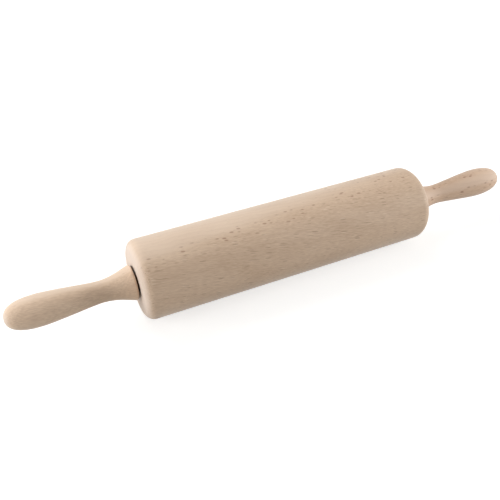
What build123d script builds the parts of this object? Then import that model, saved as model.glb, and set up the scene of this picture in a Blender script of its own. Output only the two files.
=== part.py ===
from build123d import *
import os

# Rolling pin in turned beech. A cylindrical roller spins on a steel rod in two
# ball bearings, and the rod's ends are screwed into two turned handles.
# X runs along the pin and Z is up. The origin lies under the middle of the
# roller, on the surface that the roller rests on. Sizes are in millimetres.

# Roller
roller_length = 250.0
roller_diameter = 63.0
roller_edge_radius = 7.4

# Handle, measured along the pin from its flange
handle_gap = 1.5
flange_diameter = 28.2
flange_edge_radius = 1.2
flange_to_neck = 25.8
neck_diameter = 16.7
neck_to_swell = 44.7
swell_diameter = 24.1
swell_to_tip = 24.1
tip_wood = 30.0

# How far each handle curve leans on its end tangents, as shares of its run
flare_start_share = 0.34
flare_drop_share = 0.425
flare_end_share = 0.43
grip_start_share = 0.17
grip_end_share = 0.245
tip_start_share = 0.83
tip_round_share = 0.485

# Fits
seat_gap = 0.02
groove_clearance = 0.05

# Ball bearing, built outwards from the bore
bearing_bore = 8.0
race_floor = 1.465
race_shoulder = 0.585
race_groove_radius = 2.06
race_corner = 0.3
ball_diameter = 3.97
ball_count = 7
pocket_clearance = 0.15
cage_back = 0.45
cage_side_gap = 0.65
cage_claw_share = 0.7
cage_to_seal = 0.315
seal_thickness = 0.4
seal_recess = 0.2
seal_lip = 0.3
seal_gap = 0.2

# Bearing seat in the roller
mouth_bevel = 1.1
seat_setback = 0.5
seat_shoulder = 2.5
rod_clearance = 1.0
clip_room = 1.5

# Axle rod and what sits on it
rod_end_bevel = 0.8
rod_end_room = 2.0
spacer_wall = 2.0
spacer_bevel = 0.3
clip_thickness = 0.8
clip_groove_depth = 0.2
clip_play = 0.05
clip_back_width = 1.8
clip_front_width = 1.1
clip_opening = 1.6
clip_ear_hole = 1.0
clip_ear_wall = 0.6
clip_ear_overlap = 0.2

# Threaded insert in the handle
insert_length = 18.0
insert_wall = 1.2
barb_height = 0.5
barb_count = 5

# One overrun for every cutting tool
overrun = 1.0

# Places and radii that follow from the sizes above
roller_radius = roller_diameter / 2
roller_end = roller_length / 2
flange_face = roller_end + handle_gap
handle_length = flange_to_neck + neck_to_swell + swell_to_tip

ball_radius = ball_diameter / 2
bore_radius = bearing_bore / 2
pitch_radius = bore_radius + race_floor + groove_clearance + ball_radius
bearing_radius = pitch_radius + ball_radius + groove_clearance + race_floor
inner_land = bore_radius + race_floor + race_shoulder
outer_land = bearing_radius - race_floor - race_shoulder
cage_reach = ball_radius + pocket_clearance + cage_back
seal_inner_face = cage_reach + cage_to_seal
seal_outer_face = seal_inner_face + seal_thickness
bearing_half_width = seal_outer_face + seal_recess

bearing_outboard = roller_end - mouth_bevel - seat_setback
bearing_middle = bearing_outboard - bearing_half_width
bearing_inboard = bearing_middle - bearing_half_width

rod_radius = bore_radius - seat_gap
rod_bore_radius = rod_radius + seat_gap
rod_end = flange_face + handle_length - tip_wood - rod_end_room
clip_groove_radius = rod_radius - clip_groove_depth
insert_crest_radius = rod_bore_radius + insert_wall + barb_height


def turned(outline):
    """Solid turned about the X axis from a closed outline of (x, radius)."""
    return revolve(make_face(outline), Axis.X)


def turned_points(*points):
    """Solid turned about the X axis from the corners of its half section."""
    return turned(Polyline(*points, close=True))


def tube(start, end, inner_radius, outer_radius):
    """Plain tube about the X axis."""
    return turned_points(
        (start, inner_radius),
        (start, outer_radius),
        (end, outer_radius),
        (end, inner_radius),
    )


def rod(start, end, radius):
    """Plain round bar about the X axis."""
    return turned_points((start, 0), (start, radius), (end, radius), (end, 0))


def other_end(piece):
    """The same piece turned round to the pin's other end."""
    return Rot(0, 0, 180) * piece


# Roller
def make_roller():
    """Cylinder with rounded end edges, a rod bore and a stepped seat at each end."""
    shoulder_x = roller_end - roller_edge_radius
    shoulder_radius = roller_radius - roller_edge_radius
    outline = Curve() + [
        Line((-roller_end, 0), (-roller_end, shoulder_radius)),
        RadiusArc((-roller_end, shoulder_radius), (-shoulder_x, roller_radius), roller_edge_radius),
        Line((-shoulder_x, roller_radius), (shoulder_x, roller_radius)),
        RadiusArc((shoulder_x, roller_radius), (roller_end, shoulder_radius), roller_edge_radius),
        Line((roller_end, shoulder_radius), (roller_end, 0)),
        Line((roller_end, 0), (-roller_end, 0)),
    ]
    seat_radius = bearing_radius + seat_gap
    relief_radius = bearing_radius - seat_shoulder
    relief_end = bearing_inboard - clip_thickness - clip_room
    seat = turned_points(
        (roller_end + overrun, 0),
        (roller_end + overrun, seat_radius + mouth_bevel),
        (roller_end, seat_radius + mouth_bevel),
        (roller_end - mouth_bevel, seat_radius),
        (bearing_inboard, seat_radius),
        (bearing_inboard, relief_radius),
        (relief_end, relief_radius),
        (relief_end, 0),
    )
    bore = rod(-relief_end - overrun, relief_end + overrun, rod_radius + rod_clearance)
    return turned(outline) - seat - other_end(seat) - bore


# Handle
def make_handle():
    """Turned grip: flared flange, waist, swell and domed tip, with a blind bore."""
    flange_radius = flange_diameter / 2
    neck_radius = neck_diameter / 2
    swell_radius = swell_diameter / 2
    neck_x = flange_face + flange_to_neck
    swell_x = neck_x + neck_to_swell
    tip_x = swell_x + swell_to_tip
    flare_drop = flare_drop_share * (flange_radius - neck_radius)
    outline = Curve() + [
        Line((flange_face, 0), (flange_face, flange_radius)),
        Bezier(
            (flange_face, flange_radius),
            (flange_face + flare_start_share * flange_to_neck, flange_radius - flare_drop),
            (neck_x - flare_end_share * flange_to_neck, neck_radius),
            (neck_x, neck_radius),
        ),
        Bezier(
            (neck_x, neck_radius),
            (neck_x + grip_start_share * neck_to_swell, neck_radius),
            (swell_x - grip_end_share * neck_to_swell, swell_radius),
            (swell_x, swell_radius),
        ),
        Bezier(
            (swell_x, swell_radius),
            (swell_x + tip_start_share * swell_to_tip, swell_radius),
            (tip_x, tip_round_share * swell_radius),
            (tip_x, 0),
        ),
        Line((tip_x, 0), (flange_face, 0)),
    ]
    body = turned(outline)
    rim = body.edges().group_by(Axis.X)[0].sort_by(SortBy.RADIUS)[-1]
    body = fillet(rim, flange_edge_radius)
    socket_radius = insert_crest_radius + seat_gap
    socket_end = flange_face + insert_length + seat_gap
    bore_end = flange_face + handle_length - tip_wood
    bore = turned_points(
        (flange_face - overrun, 0),
        (flange_face - overrun, socket_radius),
        (socket_end, socket_radius),
        (socket_end, rod_bore_radius),
        (bore_end, rod_bore_radius),
        (bore_end + rod_bore_radius, 0),
    )
    return body - bore


# Axle rod
def make_axle_rod():
    """Straight rod with bevelled ends and a groove for each retaining clip."""
    body = turned_points(
        (-rod_end, 0),
        (-rod_end, rod_radius - rod_end_bevel),
        (-rod_end + rod_end_bevel, rod_radius),
        (rod_end - rod_end_bevel, rod_radius),
        (rod_end, rod_radius - rod_end_bevel),
        (rod_end, 0),
    )
    groove_start = bearing_inboard - clip_thickness - clip_play
    groove_end = bearing_inboard + clip_play
    groove = tube(groove_start, groove_end, clip_groove_radius, rod_radius + overrun)
    return body - groove - other_end(groove)


# Ball bearing
def make_race(inner_radius, outer_radius, groove_centre):
    """Ring with bevelled corners and the round groove that the balls run in."""
    start = bearing_inboard
    end = bearing_outboard
    ring = turned_points(
        (start, inner_radius + race_corner),
        (start, outer_radius - race_corner),
        (start + race_corner, outer_radius),
        (end - race_corner, outer_radius),
        (end, outer_radius - race_corner),
        (end, inner_radius + race_corner),
        (end - race_corner, inner_radius),
        (start + race_corner, inner_radius),
    )
    groove = Pos(bearing_middle, 0, 0) * Rot(0, 90, 0) * Torus(groove_centre, race_groove_radius)
    return ring - groove


def make_inner_race():
    """Inner ring, with its groove on the outside."""
    floor_radius = bore_radius + race_floor
    return make_race(bore_radius, inner_land, floor_radius + race_groove_radius)


def make_outer_race():
    """Outer ring, with its groove inside and a slot for the rim of each seal."""
    floor_radius = bearing_radius - race_floor
    ring = make_race(outer_land, bearing_radius, floor_radius - race_groove_radius)
    slot_start = seal_inner_face - seat_gap
    slot_end = seal_outer_face + seat_gap
    slot_radius = outer_land + seal_lip + seat_gap
    slot_inner_radius = outer_land - overrun
    outboard = tube(bearing_middle + slot_start, bearing_middle + slot_end, slot_inner_radius, slot_radius)
    inboard = tube(bearing_middle - slot_end, bearing_middle - slot_start, slot_inner_radius, slot_radius)
    return ring - outboard - inboard


def make_seal(start):
    """Thin rubber washer held in the outer ring, just clear of the inner ring."""
    return tube(start, start + seal_thickness, inner_land + seal_gap, outer_land + seal_lip)


def ball_places():
    """Centre of each ball, evenly spaced round the pitch circle."""
    turn = 360 / ball_count
    return [Rot(turn * i, 0, 0) * Pos(bearing_middle, 0, pitch_radius) for i in range(ball_count)]


def make_balls():
    """The full set of balls of one bearing."""
    return Compound([place * Sphere(ball_radius) for place in ball_places()])


def make_cage():
    """Crown cage: a ring with a closed back and a snap-in pocket for each ball."""
    ring = tube(
        bearing_middle - cage_reach,
        bearing_middle + cage_claw_share * ball_radius,
        inner_land + cage_side_gap,
        outer_land - cage_side_gap,
    )
    return ring - [place * Sphere(ball_radius + pocket_clearance) for place in ball_places()]


# Spacer
def make_spacer():
    """Sleeve on the rod between the inner ring and the handle's flange."""
    inner_radius = rod_radius + seat_gap
    outer_radius = inner_radius + spacer_wall
    return turned_points(
        (bearing_outboard, inner_radius),
        (bearing_outboard, outer_radius - spacer_bevel),
        (bearing_outboard + spacer_bevel, outer_radius),
        (flange_face - spacer_bevel, outer_radius),
        (flange_face, outer_radius - spacer_bevel),
        (flange_face, inner_radius),
    )


# Retaining clip
def make_retaining_clip():
    """Open spring ring, widest at its back, with an eyelet at each end."""
    inner_radius = clip_groove_radius + seat_gap
    outer_radius = inner_radius + (clip_back_width + clip_front_width) / 2
    back_shift = (clip_back_width - clip_front_width) / 2
    ear_radius = clip_ear_hole / 2 + clip_ear_wall + clip_ear_overlap
    ear_side = clip_opening / 2 + clip_ear_wall + clip_ear_hole / 2
    ear_reach = inner_radius + ear_radius
    ear_height = (ear_reach**2 - ear_side**2) ** 0.5
    ears = [Pos(side * ear_side, ear_height) for side in (-1, 1)]
    shape = Pos(0, -back_shift) * Circle(outer_radius)
    shape += [ear * Circle(ear_radius) for ear in ears]
    shape -= Circle(inner_radius)
    shape -= [ear * Circle(clip_ear_hole / 2) for ear in ears]
    opening_height = ear_reach + ear_radius
    shape -= Pos(0, opening_height / 2) * Rectangle(clip_opening, opening_height)
    face_plane = Plane(origin=(bearing_inboard - clip_thickness, 0, 0), z_dir=(1, 0, 0))
    return extrude(face_plane * shape, clip_thickness)


# Threaded insert
def make_threaded_insert():
    """Bush with sawtooth barbs outside, steep towards the flange."""
    end = flange_face + insert_length
    root_radius = insert_crest_radius - barb_height
    barb_pitch = insert_length / barb_count
    barbs = []
    for i in range(barb_count):
        barbs.append((flange_face + i * barb_pitch, insert_crest_radius))
        barbs.append((flange_face + (i + 1) * barb_pitch, root_radius))
    return turned_points((flange_face, rod_bore_radius), *barbs, (end, rod_bore_radius))


# The pieces of one end, and the two that run right through
end_pieces = {
    "handle": make_handle(),
    "outer_race": make_outer_race(),
    "inner_race": make_inner_race(),
    "balls": make_balls(),
    "cage": make_cage(),
    "outboard_seal": make_seal(bearing_middle + seal_inner_face),
    "inboard_seal": make_seal(bearing_middle - seal_outer_face),
    "spacer": make_spacer(),
    "retaining_clip": make_retaining_clip(),
    "threaded_insert": make_threaded_insert(),
}
nodes = {"roller": make_roller(), "axle_rod": make_axle_rod()}
for name, piece in end_pieces.items():
    nodes[name + "_left"] = other_end(piece)
    nodes[name + "_right"] = piece

# The pin lies on its roller, so the axis is one roller radius up
os.makedirs("parts", exist_ok=True)
for name, piece in nodes.items():
    export_step(Pos(0, 0, roller_radius) * piece, "parts/" + name + ".step")
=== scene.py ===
# Rolling pin in sanded beech: a roller on ball bearings between two turned handles.
# Lengths are metres in the pin's own frame: X along the pin, Z up.

import math
import bpy
import numpy as np
from mathutils import Matrix, Vector


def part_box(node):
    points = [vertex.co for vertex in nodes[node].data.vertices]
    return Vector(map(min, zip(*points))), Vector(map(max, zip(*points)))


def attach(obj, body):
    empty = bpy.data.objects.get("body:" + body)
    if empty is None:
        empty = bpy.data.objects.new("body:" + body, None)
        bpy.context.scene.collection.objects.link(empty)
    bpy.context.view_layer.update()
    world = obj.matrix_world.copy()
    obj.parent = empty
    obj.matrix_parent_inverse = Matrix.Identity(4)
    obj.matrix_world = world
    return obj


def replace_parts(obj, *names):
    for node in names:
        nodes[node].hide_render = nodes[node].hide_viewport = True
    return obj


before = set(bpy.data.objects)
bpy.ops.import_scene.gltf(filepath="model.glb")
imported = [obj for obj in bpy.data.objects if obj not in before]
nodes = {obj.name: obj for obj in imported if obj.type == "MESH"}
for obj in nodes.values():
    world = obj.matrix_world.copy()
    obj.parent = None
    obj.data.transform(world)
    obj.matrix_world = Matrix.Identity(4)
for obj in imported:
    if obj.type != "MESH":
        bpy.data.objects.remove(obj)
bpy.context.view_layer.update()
mm = 0.001


# Roller
# One straight-grained length of beech, turned to a cylinder with its end edges rounded over.
# Each end is bored for a ball bearing, with a bevelled mouth, and a hole for the rod runs right through.
# It is sanded and left without any finish.
roller_low, roller_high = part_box("roller")
roller_end = roller_high.x
roller_radius = (roller_high.z - roller_low.z) / 2
axis_height = (roller_high.z + roller_low.z) / 2
roller_edge_radius = 7.4 * mm
mouth_bevel = 1.1 * mm
seat_gap = 0.02 * mm
race_low, race_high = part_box("outer_race_right")
seat_radius = (race_high.z - race_low.z) / 2 + seat_gap
seat_shoulder = 2.5 * mm
relief_depth = 2.3 * mm
relief_radius = seat_radius - seat_shoulder
relief_end = race_low.x - relief_depth
rod_hole_radius = 4.98 * mm
sharp_edge_radius = 0.25 * mm
longest_step = 4.0 * mm
arc_points = 12
crease_angle = math.radians(40)
roller_segments = 320


def rounded_outline(corners, radii):
    """Closed outline of (x, radius) with its corners rounded: each corner's two tangent points lie at
    r / tan(half its inner angle) from it, and the arc between them turns about the centre that is
    r away from both sides. Straight runs are cut to even steps no longer than the longest step."""
    corners, radii = np.array(corners, float), np.array(radii, float)
    before = np.roll(corners, 1, 0) - corners
    after = np.roll(corners, -1, 0) - corners
    before /= np.linalg.norm(before, axis=1)[:, None]
    after /= np.linalg.norm(after, axis=1)[:, None]
    half = np.arccos((before * after).sum(1)) / 2
    middle = before + after
    middle /= np.linalg.norm(middle, axis=1)[:, None]
    centre = corners + middle * (radii / np.sin(half))[:, None]
    start = corners + before * (radii / np.tan(half))[:, None] - centre
    end = corners + after * (radii / np.tan(half))[:, None] - centre
    turn = np.pi - 2 * half[:, None, None]
    t = np.linspace(0, 1, arc_points)[None, :, None]
    arcs = (start[:, None] * np.sin((1 - t) * turn) + end[:, None] * np.sin(t * turn)) / np.sin(turn)
    arcs += centre[:, None]
    points = []
    for arc, following in zip(arcs, np.roll(arcs, -1, 0)):
        run = following[0] - arc[-1]
        cuts = max(int(np.linalg.norm(run) / longest_step), 1)
        points += [arc, arc[-1] + run * (np.arange(1, cuts) / cuts)[:, None]]
    return np.concatenate(points)


def turned_surface(name, outline, segments, closed):
    """Surface turned about the pin's axis: point (i, j) lies at the outline's x[i], at radius[i] from
    the axis and at j / segments of a full turn. A closed outline joins its last row to its first, and
    an open one starts and ends on the axis, where a fan of triangles closes each pole."""
    rows = outline if closed else outline[1:-1]
    angle = 2 * np.pi * np.arange(segments) / segments
    x = np.repeat(rows[:, :1], segments, 1)
    y = rows[:, 1:] * np.sin(angle)
    z = rows[:, 1:] * np.cos(angle) + axis_height
    points = np.stack([x, y, z], -1).reshape(-1, 3)
    count = len(rows)
    i = np.arange(count if closed else count - 1)[:, None] * segments
    following = (i + segments) % (count * segments)
    j = np.arange(segments)
    beside = (j + 1) % segments
    quads = np.stack([i + j, following + j, following + beside, i + beside], -1).reshape(-1, 4)
    faces = quads.tolist()
    if not closed:
        poles = [[outline[0, 0], 0, axis_height], [outline[-1, 0], 0, axis_height]]
        points = np.concatenate([points, poles])
        first_pole, last_pole = np.full((2, segments), [[count * segments], [count * segments + 1]])
        last = (count - 1) * segments
        faces += np.stack([first_pole, j, beside], -1).tolist()
        faces += np.stack([last_pole, last + beside, last + j], -1).tolist()
    mesh = bpy.data.meshes.new(name)
    mesh.from_pydata(points, [], faces)
    mesh.shade_smooth()
    mesh.set_sharp_from_angle(angle=crease_angle)
    piece = bpy.data.objects.new(name, mesh)
    bpy.context.scene.collection.objects.link(piece)
    return piece


def linear(code):
    """Linear colour of an sRGB hex code: c / 12.92 up to 0.04045, ((c + 0.055) / 1.055) ** 2.4 above."""
    parts = [int(code[k:k + 2], 16) / 255 for k in (0, 2, 4)]
    return [c / 12.92 if c <= 0.04045 else ((c + 0.055) / 1.055) ** 2.4 for c in parts] + [1.0]


def add(material, kind, inputs, **settings):
    """Adds one shader node with its settings. Its inputs are named, or numbered where names repeat,
    and each takes a value or the output that feeds it."""
    node = material.node_tree.nodes.new("ShaderNode" + kind)
    for key, value in settings.items():
        setattr(node, key, value)
    for key, value in inputs.items():
        if isinstance(value, bpy.types.NodeSocket):
            material.node_tree.links.new(value, node.inputs[key])
        else:
            node.inputs[key].default_value = value
    return node


# A Mix node repeats its sockets' names for each kind of value, so its colour sockets go by number
mix_factor, mix_a, mix_b, mix_result = 0, 6, 7, 2


def wood_directions(ray_face, slope_face, slope):
    """Turn from the pin's directions to the wood's. The rays lie flat in the surface at ray_face round the
    pin, and the fibres run down the surface by slope at slope_face, where 0 faces -Y and 90 up."""
    ray_face, slope_face, slope = np.radians([ray_face, slope_face, slope])
    fall = -np.sin(slope)
    fibre = np.array([np.cos(slope), fall * np.sin(slope_face), fall * np.cos(slope_face)])
    across = np.array([0, -np.cos(ray_face), np.sin(ray_face)])
    across -= fibre * (fibre @ across)
    across /= np.linalg.norm(across)
    along_ray = np.cross(across, fibre)
    return Matrix([fibre, along_ray, across]).to_euler("XYZ")


def beech(name, offset, tone, pale, ray_face, slope_face, slope, climb_share=0.0, marked=1.0):
    """Steamed beech, turned and sanded but not oiled: pale pinkish brown and matt, with the short brown
    dashes of its rays where they end in the surface, and rounder spots where they are cut aslant.
    Its colour wanders between tone and pale, and offset, in millimetres, picks the stretch of wood. The
    band of spots climbs round the pin by climb_share of the way along it, and marked is how strongly the
    rays show, where 1 is plainly."""
    material = bpy.data.materials.new(name)
    material.use_nodes = True
    shader = material.node_tree.nodes["Principled BSDF"]
    place = add(material, "TexCoord", {}).outputs["Object"]
    # Millimetres from the pin's axis, then in the wood's directions: X along the fibres, Y along the rays
    centred = add(material, "Mapping", {
        "Vector": place, "Location": [0, 0, -axis_height / mm], "Scale": [1 / mm] * 3}).outputs[0]
    wood = add(material, "Mapping", {
        "Vector": centred, "Rotation": wood_directions(ray_face, slope_face, slope),
        "Location": offset}).outputs[0]

    # Slow changes of tone, 60 mm long and 14 mm wide
    patch_length, patch_width = 60, 14
    slow = add(material, "Mapping", {
        "Vector": wood, "Scale": [1 / patch_length, 1 / patch_width, 1 / patch_width]}).outputs[0]
    patches = add(material, "TexNoise", {"Vector": slow, "Scale": 1.0, "Detail": 2.0}).outputs[0]
    base = add(material, "Mix", {
        mix_factor: patches, mix_a: linear(tone), mix_b: linear(pale)},
        data_type="RGBA").outputs[mix_result]

    # Growth rings 4 mm wide, curved about a pith 90 mm away, that waver by up to 9 mm over some 18 mm
    ring_width, pith_distance, waver_reach, waver_length = 4.0, 90.0, 9.0, 18.0
    waver = add(material, "TexNoise", {"Vector": wood, "Scale": 1 / waver_length, "Detail": 2.0}).outputs[0]
    sway = add(material, "Math", {0: waver, 1: waver_reach}, operation="MULTIPLY").outputs[0]
    pith = add(material, "Mapping", {
        "Vector": wood, "Location": [0, pith_distance, 0], "Scale": [0, 1, 1]}).outputs[0]
    out = add(material, "VectorMath", {0: pith}, operation="LENGTH").outputs["Value"]
    years = add(material, "Math", {0: out, 1: sway}, operation="ADD").outputs[0]
    year = add(material, "Math", {0: years, 1: ring_width}, operation="DIVIDE").outputs[0]
    season = add(material, "Math", {0: year}, operation="FRACT").outputs[0]
    late = add(material, "MapRange", {
        "Value": season, "From Min": 0.4, "From Max": 1.0, "To Max": 0.06},
        interpolation_type="SMOOTHSTEP").outputs[0]
    ringed = add(material, "Mix", {
        mix_factor: late, mix_a: base, mix_b: linear("8C6248")}, data_type="RGBA").outputs[mix_result]

    # How flat the rays lie in the surface, from 0 where they end in it to 1 where they lie along it
    face = math.radians(ray_face)
    broadside = add(material, "VectorMath", {
        0: centred, 1: (climb_share, -math.cos(face), math.sin(face))},
        operation="DOT_PRODUCT").outputs["Value"]
    spokes = add(material, "Mapping", {"Vector": centred, "Scale": [0, 1, 1]}).outputs[0]
    radius = add(material, "VectorMath", {0: spokes}, operation="LENGTH").outputs["Value"]
    share = add(material, "Math", {0: broadside, 1: radius}, operation="DIVIDE").outputs[0]
    flatness = add(material, "Math", {0: share}, operation="ABSOLUTE").outputs[0]
    ray_ends = add(material, "MapRange", {
        "Value": flatness, "From Min": 0.8, "From Max": 0.97, "To Min": 1.0, "To Max": 0.2}).outputs[0]

    # Pore lines, 5 mm long and drawn 0.6 mm wide, since the real 0.1 mm would not show
    pore_length, pore_width = 5, 0.6
    fine = add(material, "Mapping", {
        "Vector": wood, "Scale": [1 / pore_length, 1 / pore_width, 1 / pore_width]}).outputs[0]
    pores = add(material, "TexNoise", {
        "Vector": fine, "Scale": 1.0, "Detail": 1.0, "Roughness": 0.5}).outputs[0]
    pore_weight = add(material, "MapRange", {
        "Value": pores, "From Min": 0.3, "From Max": 0.7, "To Max": 0.26}).outputs[0]
    pore_weight = add(material, "Math", {0: pore_weight, 1: ray_ends}, operation="MULTIPLY").outputs[0]
    lined = add(material, "Mix", {
        mix_factor: pore_weight, mix_a: ringed, mix_b: linear("94694E")},
        data_type="RGBA").outputs[mix_result]

    # Ray ends: thin dashes up to 7 mm long and 0.8 mm thick, dark and pale, and finer ones of up to 13 mm.
    # Each layer is cut into cells of that length and width, and a dash fills at most about half of its cell
    # each way.
    dash_layers = (
        (0, 13, 1.4, "7E5640", 0.42),
        (50, 13, 1.4, "EEDCC8", 0.36),
        (90, 24, 1.1, "84604A", 0.4),
    )
    dashed, dash = lined, None
    for shift, length, width, code, weight in dash_layers:
        cells = add(material, "Mapping", {
            "Vector": wood, "Location": [shift, shift, 0],
            "Scale": [1 / length, 1 / width, 1 / width]}).outputs[0]
        ends = add(material, "TexVoronoi", {"Vector": cells, "Scale": 1.0, "Randomness": 1.0})
        chance = add(material, "SeparateColor", {"Color": ends.outputs["Color"]}).outputs[0]
        reach = add(material, "MapRange", {"Value": chance, "From Min": 0.1, "To Max": 0.27}).outputs[0]
        inside = add(material, "Math", {
            0: reach, 1: ends.outputs["Distance"]}, operation="SUBTRACT").outputs[0]
        edge = add(material, "MapRange", {
            "Value": inside, "From Min": 0.0, "From Max": 0.06, "To Max": weight * marked},
            interpolation_type="SMOOTHSTEP").outputs[0]
        shown = add(material, "Math", {0: edge, 1: ray_ends}, operation="MULTIPLY").outputs[0]
        dash = dash or shown
        dashed = add(material, "Mix", {
            mix_factor: shown, mix_a: dashed, mix_b: linear(code)}, data_type="RGBA").outputs[mix_result]

    # Rays cut aslant: brown spots up to 4.7 mm long and 1.9 mm wide, in a band beside the flat-lying ones
    spot_length, spot_width, spot_depth = 6.5, 2.7, 2.5
    spot_cells = add(material, "Mapping", {
        "Vector": wood, "Scale": [1 / spot_length, 1 / spot_width, 1 / spot_depth]}).outputs[0]
    spots = add(material, "TexVoronoi", {"Vector": spot_cells, "Scale": 1.0, "Randomness": 1.0})
    spot_chance = add(material, "SeparateColor", {"Color": spots.outputs["Color"]}).outputs
    spot_size = add(material, "MapRange", {
        "Value": spot_chance[0], "From Min": 0.2, "From Max": 0.7, "To Max": 0.36}).outputs[0]
    in_spot = add(material, "Math", {
        0: spot_size, 1: spots.outputs["Distance"]}, operation="SUBTRACT").outputs[0]
    spot_edge = add(material, "MapRange", {
        "Value": in_spot, "From Min": 0.0, "From Max": 0.2, "To Max": 0.5 * marked},
        interpolation_type="SMOOTHSTEP").outputs[0]
    band_start = add(material, "MapRange", {
        "Value": flatness, "From Min": 0.68, "From Max": 0.8}, interpolation_type="SMOOTHSTEP").outputs[0]
    band_end = add(material, "MapRange", {
        "Value": flatness, "From Min": 0.93, "From Max": 0.98, "To Min": 1.0, "To Max": 0.0},
        interpolation_type="SMOOTHSTEP").outputs[0]
    band = add(material, "Math", {0: band_start, 1: band_end}, operation="MULTIPLY").outputs[0]
    spot = add(material, "Math", {0: spot_edge, 1: band}, operation="MULTIPLY").outputs[0]
    spotted_wood = add(material, "Mix", {
        mix_factor: spot, mix_a: dashed, mix_b: linear("86523C")}, data_type="RGBA").outputs[mix_result]

    # Rays that lie flat show as paler silver grain: partly the wood's own figure and partly a painted
    # sheen, which on the roller lies along its top and underside
    silver_grain_and_painted_sheen = add(material, "MapRange", {
        "Value": flatness, "From Min": 0.85, "From Max": 1.0, "To Max": 0.14},
        interpolation_type="SMOOTHSTEP").outputs[0]
    silvered_and_painted_sheen = add(material, "Mix", {
        mix_factor: silver_grain_and_painted_sheen, mix_a: spotted_wood, mix_b: linear("E8D9CE")},
        data_type="RGBA").outputs[mix_result]

    # Where the fibres end in the surface, on the roller's ends and the handles' tips and flange faces: a
    # painted highlight, mixed up to halfway towards a pale, even tone
    facing = add(material, "SeparateXYZ", {
        "Vector": add(material, "TexCoord", {}).outputs["Normal"]}).outputs["X"]
    endwise = add(material, "Math", {0: facing}, operation="ABSOLUTE").outputs[0]
    end_face_painted_highlight = add(material, "MapRange", {
        "Value": endwise, "From Min": 0.5, "From Max": 0.95, "To Max": 0.5},
        interpolation_type="SMOOTHSTEP").outputs[0]
    surface = add(material, "Mix", {
        mix_factor: end_face_painted_highlight, mix_a: silvered_and_painted_sheen, mix_b: linear("E6D6CA")},
        data_type="RGBA").outputs[mix_result]

    # Sanded surface: pores and rays lie a few hundredths of a millimetre low
    low = add(material, "Math", {0: dash, 1: spot}, operation="MAXIMUM").outputs[0]
    hollows = add(material, "Math", {0: pores, 1: low}, operation="ADD").outputs[0]
    relief = add(material, "Bump", {
        "Height": hollows, "Strength": 0.25, "Distance": 0.05 * mm}, invert=True).outputs[0]
    roughness = add(material, "MapRange", {"Value": pores, "To Min": 0.55, "To Max": 0.72}).outputs[0]
    for socket, value in (("Base Color", surface), ("Roughness", roughness), ("Normal", relief)):
        material.node_tree.links.new(value, shader.inputs[socket])
    # The fuzz of cut fibres lifts the edges a little towards white
    shader.inputs["Sheen Weight"].default_value = 0.4
    shader.inputs["Sheen Roughness"].default_value = 0.35
    shader.inputs["IOR"].default_value = 1.53
    return material


roller_corners = [
    (-roller_end, seat_radius + mouth_bevel),
    (-roller_end, roller_radius),
    (roller_end, roller_radius),
    (roller_end, seat_radius + mouth_bevel),
    (roller_end - mouth_bevel, seat_radius),
    (race_low.x, seat_radius),
    (race_low.x, relief_radius),
    (relief_end, relief_radius),
    (relief_end, rod_hole_radius),
    (-relief_end, rod_hole_radius),
    (-relief_end, relief_radius),
    (-race_low.x, relief_radius),
    (-race_low.x, seat_radius),
    (-roller_end + mouth_bevel, seat_radius),
]
# Corners 1 and 2 are the two rounded end edges
roller_radii = [sharp_edge_radius] * len(roller_corners)
roller_radii[1] = roller_radii[2] = roller_edge_radius
roller_outline = rounded_outline(roller_corners, roller_radii)
roller = turned_surface("roller_body", roller_outline, roller_segments, closed=True)
roller_beech = beech(
    "sanded_beech_roller", offset=(13, 4, 7), tone="CCB094", pale="E2C9AF",
    ray_face=103, slope_face=30, slope=11, climb_share=-0.04)
roller.data.materials.append(roller_beech)
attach(roller, "roller")
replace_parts(roller, "roller")


# Ball bearings
# A sealed bearing sits in each end of the roller: two hardened steel rings ground to a fine circular grain,
# seven lapped balls in a moulded nylon cage, and a rubber seal on each side to keep the flour out. The
# seals' brownish near black is painted shade, which darkens the gap between roller and handle.
def ground_steel(name, code, roughness, grain):
    """Metal ground, drawn, pressed or turned, with fine lines of about grain millimetres round the pin's
    axis: an even shine with slight streaks of duller metal."""
    material = bpy.data.materials.new(name)
    material.use_nodes = True
    shader = material.node_tree.nodes["Principled BSDF"]
    place = add(material, "TexCoord", {}).outputs["Object"]
    centred = add(material, "Mapping", {
        "Vector": place, "Location": [0, 0, -axis_height / mm], "Scale": [1 / mm] * 3}).outputs[0]
    across = add(material, "Mapping", {"Vector": centred, "Scale": [0, 1, 1]}).outputs[0]
    radius = add(material, "VectorMath", {0: across}, operation="LENGTH").outputs["Value"]
    along = add(material, "SeparateXYZ", {"Vector": centred}).outputs["X"]
    lines = add(material, "CombineXYZ", {"X": along, "Y": radius}).outputs[0]
    streaks = add(material, "TexNoise", {"Vector": lines, "Scale": 1 / grain, "Detail": 3.0}).outputs[0]
    streak_weight = add(material, "MapRange", {"Value": streaks, "To Max": 0.3}).outputs[0]
    shade = add(material, "Mix", {
        mix_factor: streak_weight, mix_a: linear(code), mix_b: linear("77787A")},
        data_type="RGBA").outputs[mix_result]
    dull = add(material, "MapRange", {
        "Value": streaks, "To Min": roughness - 0.06, "To Max": roughness + 0.1}).outputs[0]
    relief = add(material, "Bump", {"Height": streaks, "Strength": 0.15, "Distance": 0.01 * mm}).outputs[0]
    for socket, value in (("Base Color", shade), ("Roughness", dull), ("Normal", relief)):
        material.node_tree.links.new(value, shader.inputs[socket])
    shader.inputs["Metallic"].default_value = 1.0
    return material


def finish_node(name, material):
    """Gives a construction piece its material, in place of the ones that it came with."""
    nodes[name].data.materials.clear()
    nodes[name].data.materials.append(material)


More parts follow.
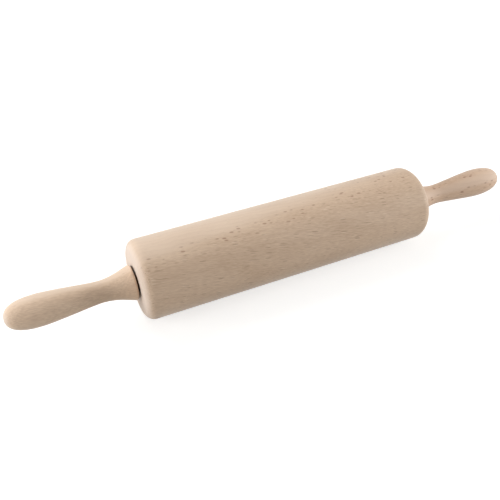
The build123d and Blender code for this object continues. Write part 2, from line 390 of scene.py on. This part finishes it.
def moulded_nylon(name):
    """Natural nylon as it comes from the mould: ivory, slightly waxy, with a fine even tooth."""
    material = bpy.data.materials.new(name)
    material.use_nodes = True
    shader = material.node_tree.nodes["Principled BSDF"]
    place = add(material, "TexCoord", {}).outputs["Object"]
    tooth_size, cloud_size = 0.3 * mm, 4 * mm
    tooth = add(material, "TexNoise", {"Vector": place, "Scale": 1 / tooth_size, "Detail": 2.0}).outputs[0]
    cloud = add(material, "TexNoise", {"Vector": place, "Scale": 1 / cloud_size, "Detail": 1.0}).outputs[0]
    shade = add(material, "Mix", {
        mix_factor: cloud, mix_a: linear("E6DEC9"), mix_b: linear("D9CFB6")},
        data_type="RGBA").outputs[mix_result]
    relief = add(material, "Bump", {"Height": tooth, "Strength": 0.2, "Distance": 0.02 * mm}).outputs[0]
    material.node_tree.links.new(shade, shader.inputs["Base Color"])
    material.node_tree.links.new(relief, shader.inputs["Normal"])
    shader.inputs["Roughness"].default_value = 0.42
    shader.inputs["IOR"].default_value = 1.53
    return material


def rubber_in_painted_shade(name):
    """Moulded nitrile rubber, dull, with a faint bloom and the mould's fine tooth. Its brownish near black
    is painted shade, which darkens the gap between roller and handle.
    """
    material = bpy.data.materials.new(name)
    material.use_nodes = True
    shader = material.node_tree.nodes["Principled BSDF"]
    place = add(material, "TexCoord", {}).outputs["Object"]
    tooth_size, bloom_size = 0.25 * mm, 5 * mm
    tooth = add(material, "TexNoise", {"Vector": place, "Scale": 1 / tooth_size, "Detail": 2.0}).outputs[0]
    bloom = add(material, "TexNoise", {"Vector": place, "Scale": 1 / bloom_size, "Detail": 2.0}).outputs[0]
    # Painted shade: two brownish near blacks that darken the gap between roller and handle
    shade = add(material, "Mix", {
        mix_factor: bloom, mix_a: linear("1E130D"), mix_b: linear("281B15")},
        data_type="RGBA").outputs[mix_result]
    dull = add(material, "MapRange", {"Value": bloom, "To Min": 0.75, "To Max": 0.9}).outputs[0]
    relief = add(material, "Bump", {"Height": tooth, "Strength": 0.3, "Distance": 0.02 * mm}).outputs[0]
    for socket, value in (("Base Color", shade), ("Roughness", dull), ("Normal", relief)):
        material.node_tree.links.new(value, shader.inputs[socket])
    shader.inputs["IOR"].default_value = 1.52
    return material


bearing_steel = ground_steel("ground_bearing_steel", "C4C5C6", roughness=0.24, grain=0.4)
ball_steel = ground_steel("lapped_ball_steel", "D2D3D4", roughness=0.12, grain=0.2)
seal_rubber = rubber_in_painted_shade("moulded_seal_rubber_painted_shade")
cage_nylon = moulded_nylon("moulded_nylon_cage")
for end in ("_left", "_right"):
    finish_node("outer_race" + end, bearing_steel)
    finish_node("inner_race" + end, bearing_steel)
    finish_node("balls" + end, ball_steel)
    finish_node("cage" + end, cage_nylon)
    finish_node("outboard_seal" + end, seal_rubber)
    finish_node("inboard_seal" + end, seal_rubber)


# Axle rod, retaining clips and spacers
# The rod is bright drawn steel, cut to length and bevelled, with a narrow groove for each clip.
# Each clip is stamped from spring steel and phosphated nearly black, and each spacer is turned from acetal,
# whose brown is painted shade for the gap between roller and handle.
def acetal_in_painted_shade(name):
    """Turned acetal, waxy, with fine rings left by the lathe tool 0.3 mm apart. Its brown is painted shade,
    which darkens the gap between roller and handle.
    """
    ring_step = 0.3 * mm
    material = bpy.data.materials.new(name)
    material.use_nodes = True
    shader = material.node_tree.nodes["Principled BSDF"]
    place = add(material, "TexCoord", {}).outputs["Object"]
    along = add(material, "Mapping", {"Vector": place, "Scale": [1 / ring_step, 0, 0]}).outputs[0]
    rings = add(material, "TexNoise", {"Vector": along, "Scale": 1.0, "Detail": 1.0}).outputs[0]
    # Painted shade: two browns that darken the gap between roller and handle
    shade = add(material, "Mix", {
        mix_factor: rings, mix_a: linear("4C2E19"), mix_b: linear("563822")},
        data_type="RGBA").outputs[mix_result]
    relief = add(material, "Bump", {"Height": rings, "Strength": 0.3, "Distance": 0.01 * mm}).outputs[0]
    material.node_tree.links.new(shade, shader.inputs["Base Color"])
    material.node_tree.links.new(relief, shader.inputs["Normal"])
    shader.inputs["Roughness"].default_value = 0.5
    shader.inputs["Specular IOR Level"].default_value = 0.2
    shader.inputs["IOR"].default_value = 1.48
    return material


rod_steel = ground_steel("bright_drawn_steel", "BFC1C2", roughness=0.3, grain=0.6)
finish_node("axle_rod", rod_steel)
clip_steel = ground_steel("phosphated_spring_steel", "3A3B3D", roughness=0.5, grain=0.3)
spacer_acetal = acetal_in_painted_shade("turned_acetal_painted_shade")
for end in ("_left", "_right"):
    finish_node("retaining_clip" + end, clip_steel)
    finish_node("spacer" + end, spacer_acetal)


# Threaded inserts
# A turned brass bush with sawtooth barbs is driven into the bore of each handle, flush with its flange,
# and the rod's end screws into it.
insert_brass = ground_steel("turned_brass", "C9A45A", roughness=0.28, grain=0.4)
for end in ("_left", "_right"):
    finish_node("threaded_insert" + end, insert_brass)


# Handles
# Each handle is turned from its own piece of beech: a flange with an eased rim against the roller, a waist
# for the thumb, a long swell for the palm and a domed tip. The bore for insert and rod ends in solid wood.
flange_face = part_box("handle_right")[0].x
rod_low, rod_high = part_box("axle_rod")
insert_low, insert_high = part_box("threaded_insert_right")
flange_radius = 14.1 * mm
flange_edge_radius = 1.2 * mm
neck_radius = 8.35 * mm
swell_radius = 12.05 * mm
flange_to_neck = 25.8 * mm
neck_to_swell = 44.7 * mm
swell_to_tip = 24.1 * mm
rod_end_room = 2.0 * mm
handle_segments = 256
curve_points = 60
dome_points = 80
rim_points = 16
face_points = 8
# How far each curve keeps to its end tangents, as shares of its run or rise
flare_start_share = 0.34
flare_drop_share = 0.425
flare_end_share = 0.43
grip_start_share = 0.17
grip_end_share = 0.245
tip_start_share = 0.83
tip_round_share = 0.485


def curve(start, first, second, end, count):
    """Points on a cubic curve: the four points weighted by (1-t)^3, 3(1-t)^2 t, 3(1-t) t^2 and t^3."""
    t = np.linspace(0, 1, count)[:, None]
    a, b, c, d = (np.array(p, float) for p in (start, first, second, end))
    return (1 - t) ** 3 * a + 3 * (1 - t) ** 2 * t * b + 3 * (1 - t) * t**2 * c + t**3 * d


def handle_outline():
    """Outline of (distance from the flange's face, radius), from the domed tip's pole round the flange and
    down the bore to its pointed end. The flange's rim is an arc that touches its face and its flare."""
    neck = flange_to_neck
    swell = neck + neck_to_swell
    tip = swell + swell_to_tip
    drop = flare_drop_share * (flange_radius - neck_radius)
    flare = curve((0, flange_radius), (flare_start_share * neck, flange_radius - drop),
                  (neck - flare_end_share * neck, neck_radius), (neck, neck_radius), curve_points)
    grip = curve((neck, neck_radius), (neck + grip_start_share * neck_to_swell, neck_radius),
                 (swell - grip_end_share * neck_to_swell, swell_radius), (swell, swell_radius),
                 curve_points)
    dome = curve((swell, swell_radius), (swell + tip_start_share * swell_to_tip, swell_radius),
                 (tip, tip_round_share * swell_radius), (tip, 0), dome_points)
    lean = np.arctan2(drop, flare_start_share * neck)
    rim_radius = flange_radius - flange_edge_radius * (np.tan(lean) + 1 / np.cos(lean))
    turn = np.linspace(np.pi / 2 - lean, np.pi, rim_points)
    rim = np.stack([flange_edge_radius * (1 + np.cos(turn)),
                    rim_radius + flange_edge_radius * np.sin(turn)], 1)
    flare = flare[flare[:, 0] > rim[0, 0]]
    socket_radius = (insert_high.z - insert_low.z) / 2 + seat_gap
    socket_end = insert_high.x + seat_gap - flange_face
    hole_radius = (rod_high.z - rod_low.z) / 2 + seat_gap
    hole_end = rod_high.x + rod_end_room - flange_face
    bore = [(0, socket_radius), (socket_end, socket_radius), (socket_end, hole_radius),
            (hole_end, hole_radius), (hole_end, 0)]
    face = np.linspace(rim[-1], bore[0], face_points)[1:-1]
    return np.concatenate([dome[::-1], grip[-2::-1], flare[-2::-1], rim, face, bore])


def make_handle(name, side, material):
    """The handle's outline laid out from one end of the roller: side is 1 towards +X and -1 towards -X.
    The outline is laid so that x grows along the outside, which turns every face outwards."""
    outline = handle_outline() * (side, 1)
    outline[:, 0] += side * flange_face
    piece = turned_surface(name, outline[::-side], handle_segments, closed=False)
    piece.data.materials.append(material)
    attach(piece, "axle")
    return piece


left_beech = beech(
    "sanded_beech_handle_left", offset=(40, -22, 31), tone="D3B79B", pale="E7CEB4",
    ray_face=105, slope_face=40, slope=8, marked=0.35)
right_beech = beech(
    "sanded_beech_handle_right", offset=(33, -18, 52), tone="CEAE92", pale="E0C4AA",
    ray_face=48, slope_face=30, slope=5, marked=1.15)
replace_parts(make_handle("handle_body_left", -1, left_beech), "handle_left")
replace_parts(make_handle("handle_body_right", 1, right_beech), "handle_right")


# Table and light
# A white table fades into a white room. The largest lamp hangs high behind the pin, and a low one stands
# off each end.
def seen_rays(tree_owner):
    """1 for rays from the camera, or by way of a mirror or glass, and 0 for the light that the pin gets."""
    path = add(tree_owner, "LightPath", {}).outputs
    mirrored = add(tree_owner, "Math", {
        0: path["Is Glossy Ray"], 1: path["Is Transmission Ray"]}, operation="MAXIMUM").outputs[0]
    return add(tree_owner, "Math", {
        0: path["Is Camera Ray"], 1: mirrored}, operation="MAXIMUM").outputs[0]


def white_table(name):
    """Matt white laminate: it takes the pin's soft shadow, and is lifted to white for the eye alone."""
    material = bpy.data.materials.new(name)
    material.use_nodes = True
    shader = material.node_tree.nodes["Principled BSDF"]
    place = add(material, "TexCoord", {}).outputs["Object"]
    grain_size = 2 * mm
    grain = add(material, "TexNoise", {"Vector": place, "Scale": 1 / grain_size}).outputs[0]
    dull = add(material, "MapRange", {"Value": grain, "To Min": 0.8, "To Max": 0.9}).outputs[0]
    material.node_tree.links.new(dull, shader.inputs["Roughness"])
    shader.inputs["Base Color"].default_value = linear("C6C6C4")
    shader.inputs["Specular IOR Level"].default_value = 0.1
    shader.inputs["Emission Color"].default_value = (1, 1, 1, 1)
    # The lift grows away from the pin, where the lamps no longer reach the table
    away = add(material, "VectorMath", {0: place}, operation="LENGTH").outputs["Value"]
    whiteness = add(material, "MapRange", {
        "Value": away, "From Min": 0.35, "From Max": 1.0, "To Min": 0.66, "To Max": 1.0},
        interpolation_type="SMOOTHSTEP").outputs[0]
    lift = add(material, "Math", {0: seen_rays(material), 1: whiteness}, operation="MULTIPLY").outputs[0]
    material.node_tree.links.new(lift, shader.inputs["Emission Strength"])
    return material


table_reach = 3.0
table = bpy.data.meshes.new("table_top")
table_corners = [(x * table_reach, y * table_reach, 0) for x, y in ((-1, -1), (1, -1), (1, 1), (-1, 1))]
table.from_pydata(table_corners, [], [(0, 1, 2, 3)])
table.materials.append(white_table("white_laminate"))
table_top = bpy.data.objects.new("table_top", table)
bpy.context.scene.collection.objects.link(table_top)

world = bpy.data.worlds.new("white_room")
bpy.context.scene.world = world
world.use_nodes = True
room_light = 0.26
background = world.node_tree.nodes["Background"]
background.inputs["Color"].default_value = (1, 1, 1, 1)
room = add(world, "MapRange", {"Value": seen_rays(world), "To Min": room_light}).outputs[0]
world.node_tree.links.new(room, background.inputs["Strength"])


def soft_lamp(name, round_from_front, height, distance, width, power):
    """Square lamp of that width and distance, in metres, that faces the middle of the pin from that many
    degrees round from the front, where 90 is the right end, and that many degrees up."""
    lamp = bpy.data.lights.new(name, "AREA")
    lamp.size = width
    lamp.energy = power
    hung = bpy.data.objects.new(name, lamp)
    turn, rise = math.radians(round_from_front), math.radians(height)
    away = Vector((math.sin(turn) * math.cos(rise), -math.cos(turn) * math.cos(rise), math.sin(rise)))
    hung.location = away * distance + Vector((0, 0, axis_height))
    hung.rotation_euler = away.to_track_quat("Z", "Y").to_euler()
    bpy.context.scene.collection.objects.link(hung)


soft_lamp("back_lamp", 200, 48, distance=1.0, width=0.7, power=6.1)
soft_lamp("left_lamp", 270, 18, distance=1.0, width=0.5, power=5.3)
soft_lamp("right_lamp", 68, 15, distance=1.0, width=0.5, power=5.9)


# Camera
# It stands in front of the left handle and looks down along the pin towards the right one, as in the
# photograph. Its directions are the picture's rightward one and the one that it looks in.
lens = bpy.data.cameras.new("camera")
lens.lens = 45.73
lens.sensor_width = 36.0
lens.clip_start = 0.01
camera = bpy.data.objects.new("camera", lens)
camera_place = (-0.1990, -0.3596, 0.3488)
rightward = np.array([0.9052, -0.4250, 0.0])
forward = np.array([0.3313, 0.7055, -0.6265])
rotation = Matrix(np.stack([rightward, np.cross(rightward, forward), -forward], 1).tolist())
camera.matrix_world = Matrix.Translation(camera_place) @ rotation.to_4x4()
bpy.context.scene.collection.objects.link(camera)
bpy.context.scene.camera = camera
bpy.context.scene.view_settings.view_transform = "Standard"
